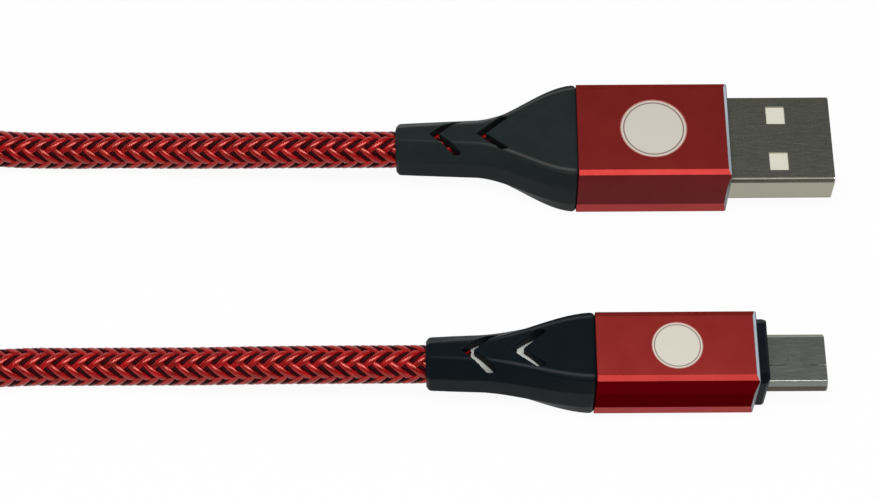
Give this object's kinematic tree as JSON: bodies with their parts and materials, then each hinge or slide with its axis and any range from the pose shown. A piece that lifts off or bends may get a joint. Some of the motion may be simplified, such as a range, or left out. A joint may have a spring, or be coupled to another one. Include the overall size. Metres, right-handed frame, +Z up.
{
  "type": "charging cable",
  "caption": "Braided charging cable with a USB-A plug and a micro-B plug in metal housings with slotted boots; spare length in a tied coil.",
  "frame": {"origin": "on the surface that the cable lies on, under the middle of the box of the two plugs", "axes": "+X along both plugs towards their tips, +Y from the micro-B plug towards the USB-A plug, +Z up"},
  "size_m": [0.1708, 0.0594, 0.0103],
  "materials": {
    "plug_steel": "nickel-plated sheet steel",
    "cream_plastic": "moulded insulator",
    "gold_contact": "gold flash",
    "shield_steel": "tinned sheet",
    "spring_steel": "spring steel",
    "dark_plastic": "moulded",
    "white_plastic": "moulded",
    "black_plastic": "satin moulded",
    "wire_red": "wire insulation",
    "wire_white": "wire insulation",
    "wire_green": "wire insulation",
    "wire_black": "wire insulation",
    "red_aluminium": "fine-brushed, red anodised, polished front bevel",
    "boot_rubber": "satin moulded",
    "red_braid": "braided nylon, red with black flecks",
    "black_tape": "hook-and-loop tape"
  },
  "bodies": {
    "cable": {"usb_a_shell": "plug_steel", "usb_a_insulator": "cream_plastic", "usb_a_contacts": "gold_contact", "usb_a_rear_shield": "shield_steel", "usb_a_inner_mould": "dark_plastic", "usb_a_wire_red": "wire_red", "usb_a_wire_white": "wire_white", "usb_a_wire_green": "wire_green", "usb_a_wire_black": "wire_black", "usb_a_inner_jacket": "wire_black", "usb_a_housing": "red_aluminium", "usb_a_boot": "boot_rubber", "micro_shell": "plug_steel", "micro_insulator": "cream_plastic", "micro_contact_tails": "gold_contact", "micro_latch_base": "spring_steel", "micro_rear_shield": "shield_steel", "micro_inner_mould": "white_plastic", "micro_wire_red": "wire_red", "micro_wire_white": "wire_white", "micro_wire_green": "wire_green", "micro_wire_black": "wire_black", "micro_inner_jacket": "wire_black", "micro_housing": "red_aluminium", "micro_bezel": "black_plastic", "micro_boot": "boot_rubber", "cord_run_usb_a": "red_braid", "cord_run_micro": "red_braid", "cord_coil": "red_braid", "coil_tie": "black_tape"},
    "latch": {"micro_latch_arms": "spring_steel"},
    "contact_springs": {"micro_contact_arms": "gold_contact"}
  },
  "joints": [
    {"name": "latch_press", "type": "hinge", "parent": "cable", "child": "latch", "pos_m": [0.0164, -0.0155, 0.00415], "axis": [0, -1, 0], "range_deg": [0, 5.8], "stiffness_Nm_per_rad": 0.05},
    {"name": "contact_flex", "type": "hinge", "parent": "cable", "child": "contact_springs", "pos_m": [0.0164, -0.0155, 0.00479], "axis": [0, -1, 0], "range_deg": [0, 2.4], "stiffness_Nm_per_rad": 0.03}
  ]
}
